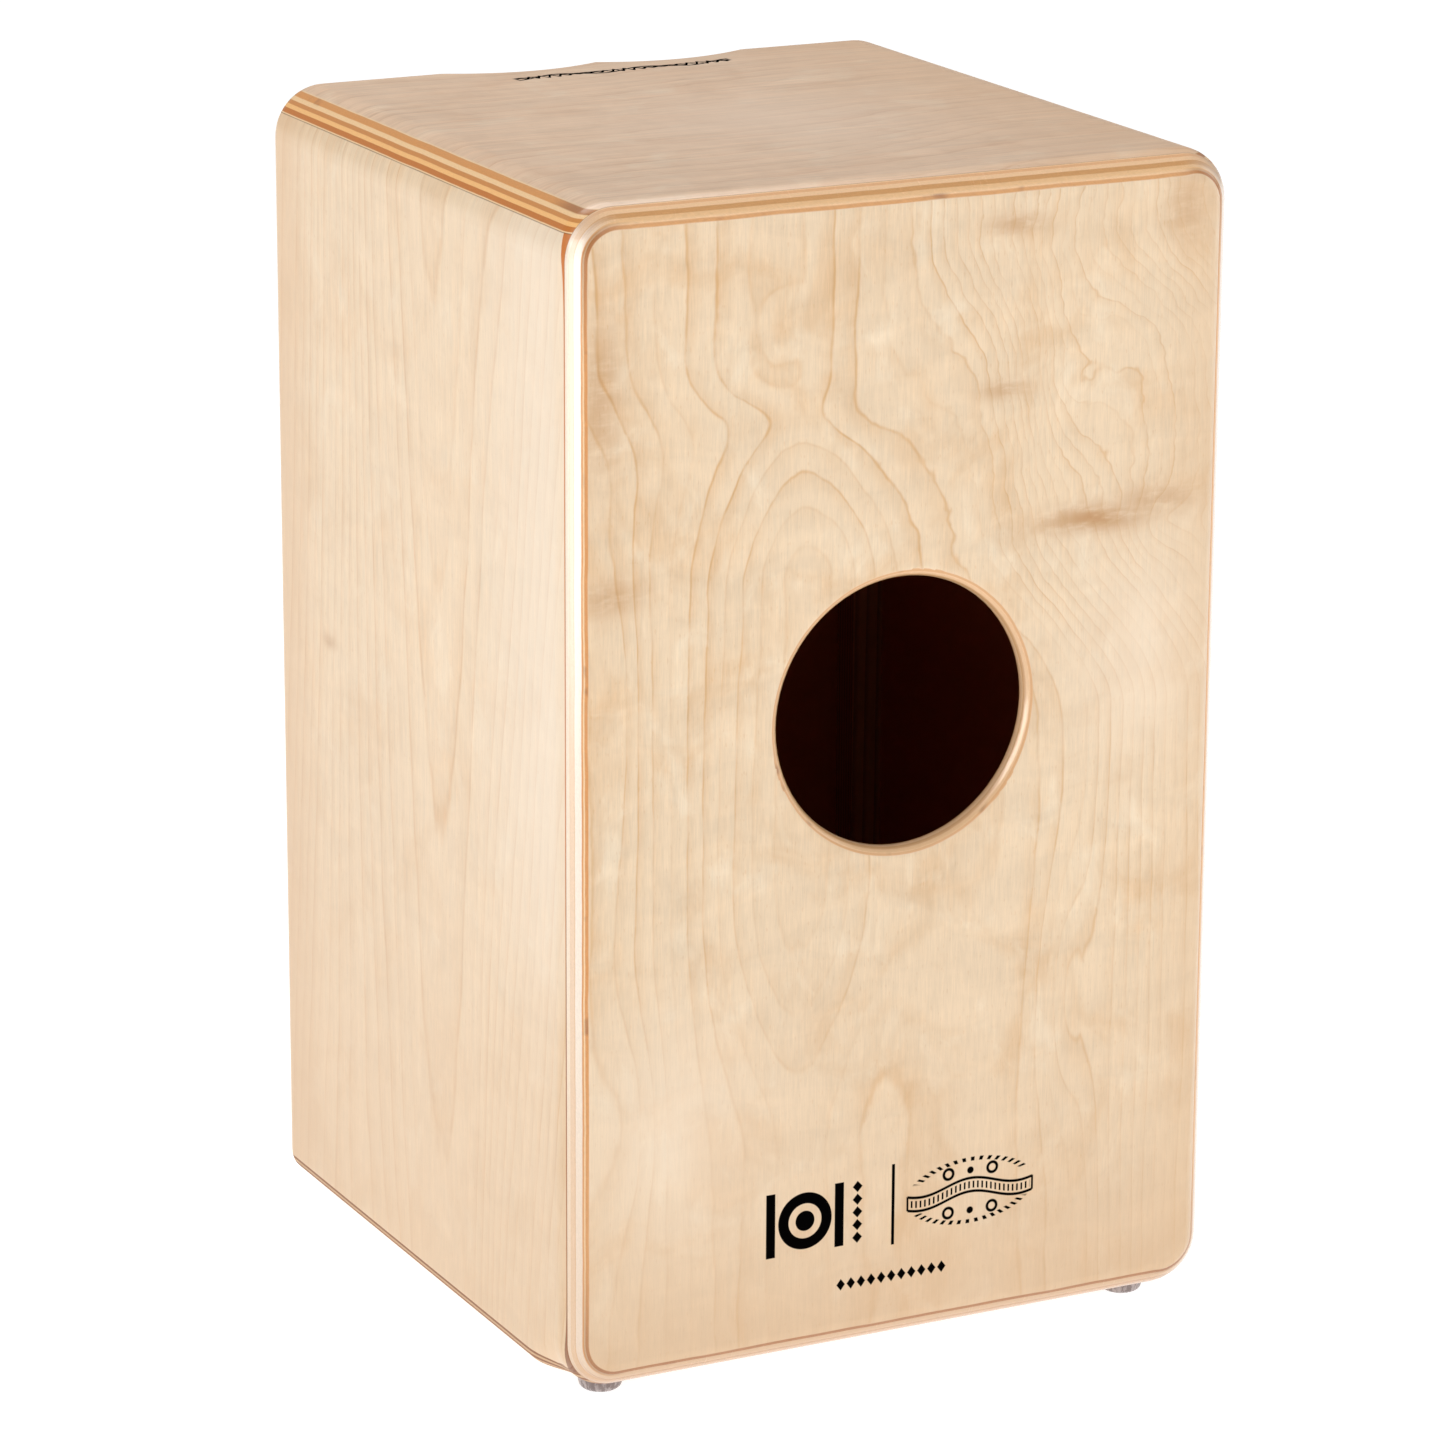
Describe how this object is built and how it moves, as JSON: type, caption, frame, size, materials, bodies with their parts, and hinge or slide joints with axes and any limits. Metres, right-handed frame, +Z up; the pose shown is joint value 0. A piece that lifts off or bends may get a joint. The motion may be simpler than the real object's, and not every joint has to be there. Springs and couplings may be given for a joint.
{
  "type": "cajon",
  "caption": "Plywood box drum with a round sound hole in the back, rubber feet, and strings behind the front plate tightened by socket screws underneath.",
  "frame": {"origin": "on the floor under the middle of the case, level with the feet's treads", "axes": "+Z up, -Y the struck front plate, +Y the back panel with the sound hole, +X and -X the two side panels"},
  "size_m": [0.3, 0.3, 0.5],
  "materials": {
    "ply_top": "satin clear lacquer over birch veneer, grain across the seat",
    "ply_side": "semi-gloss clear lacquer over birch veneer, upright grain",
    "ply_back": "semi-gloss clear lacquer over rotary-cut birch veneer",
    "ply_front": "semi-gloss clear lacquer over birch veneer, upright grain",
    "ply_bottom": "bare sanded birch plywood",
    "batten_wood": "planed softwood, unfinished",
    "foot_rubber": "satin translucent grey rubber",
    "dark_screw": "black oxide",
    "dark_steel": "black oxide",
    "zinc_steel": "zinc plated",
    "string_steel": "wound steel wire",
    "brass": "turned brass"
  },
  "bodies": {
    "root": {"back_panel": "ply_back", "bobbin_screws": "dark_screw", "bottom_panel": "ply_bottom", "bracket_screws": "zinc_steel", "corner_strip_bottom_left": "batten_wood", "corner_strip_bottom_right": "batten_wood", "corner_strip_top_left": "batten_wood", "corner_strip_top_right": "batten_wood", "foot_back_left": "foot_rubber", "foot_back_right": "foot_rubber", "foot_front_left": "foot_rubber", "foot_front_right": "foot_rubber", "foot_screws": "zinc_steel", "foot_washers": "zinc_steel", "front_batten_bottom": "batten_wood", "front_batten_left": "batten_wood", "front_batten_right": "batten_wood", "front_batten_top": "batten_wood", "front_plate": "ply_front", "left_side_panel": "ply_side", "plate_screws": "dark_screw", "right_side_panel": "ply_side", "string_bobbin_left": "brass", "string_bobbin_right": "brass", "string_left": "string_steel", "string_rail": "batten_wood", "string_right": "string_steel", "tensioner_bracket_left": "zinc_steel", "tensioner_bracket_right": "zinc_steel", "top_panel": "ply_top"},
    "screw_left": {"tension_screw_left": "dark_steel", "retaining_ring_left": "dark_steel"},
    "screw_right": {"tension_screw_right": "dark_steel", "retaining_ring_right": "dark_steel"},
    "carriage_left": {"string_carriage_left": "zinc_steel"},
    "carriage_right": {"string_carriage_right": "zinc_steel"}
  },
  "joints": [
    {"name": "tuning_left", "type": "hinge", "parent": "root", "child": "screw_left", "pos_m": [-0.07, -0.139, 0.0315], "axis": [0, 0, 1], "range_deg": [-1440, 1440]},
    {"name": "carriage_travel_left", "type": "slide", "parent": "root", "child": "carriage_left", "axis": [0, 0, 1], "range_m": [-0.005, 0.005], "deforming": ["string_left"]},
    {"name": "tuning_right", "type": "hinge", "parent": "root", "child": "screw_right", "pos_m": [0.07, -0.139, 0.0315], "axis": [0, 0, 1], "range_deg": [-1440, 1440]},
    {"name": "carriage_travel_right", "type": "slide", "parent": "root", "child": "carriage_right", "axis": [0, 0, 1], "range_m": [-0.005, 0.005], "deforming": ["string_right"]}
  ],
  "couplings": [
    {"joint": "tuning_left", "follows": "carriage_travel_left", "rad_per_m": -5026.5},
    {"joint": "tuning_right", "follows": "carriage_travel_right", "rad_per_m": -5026.5}
  ]
}
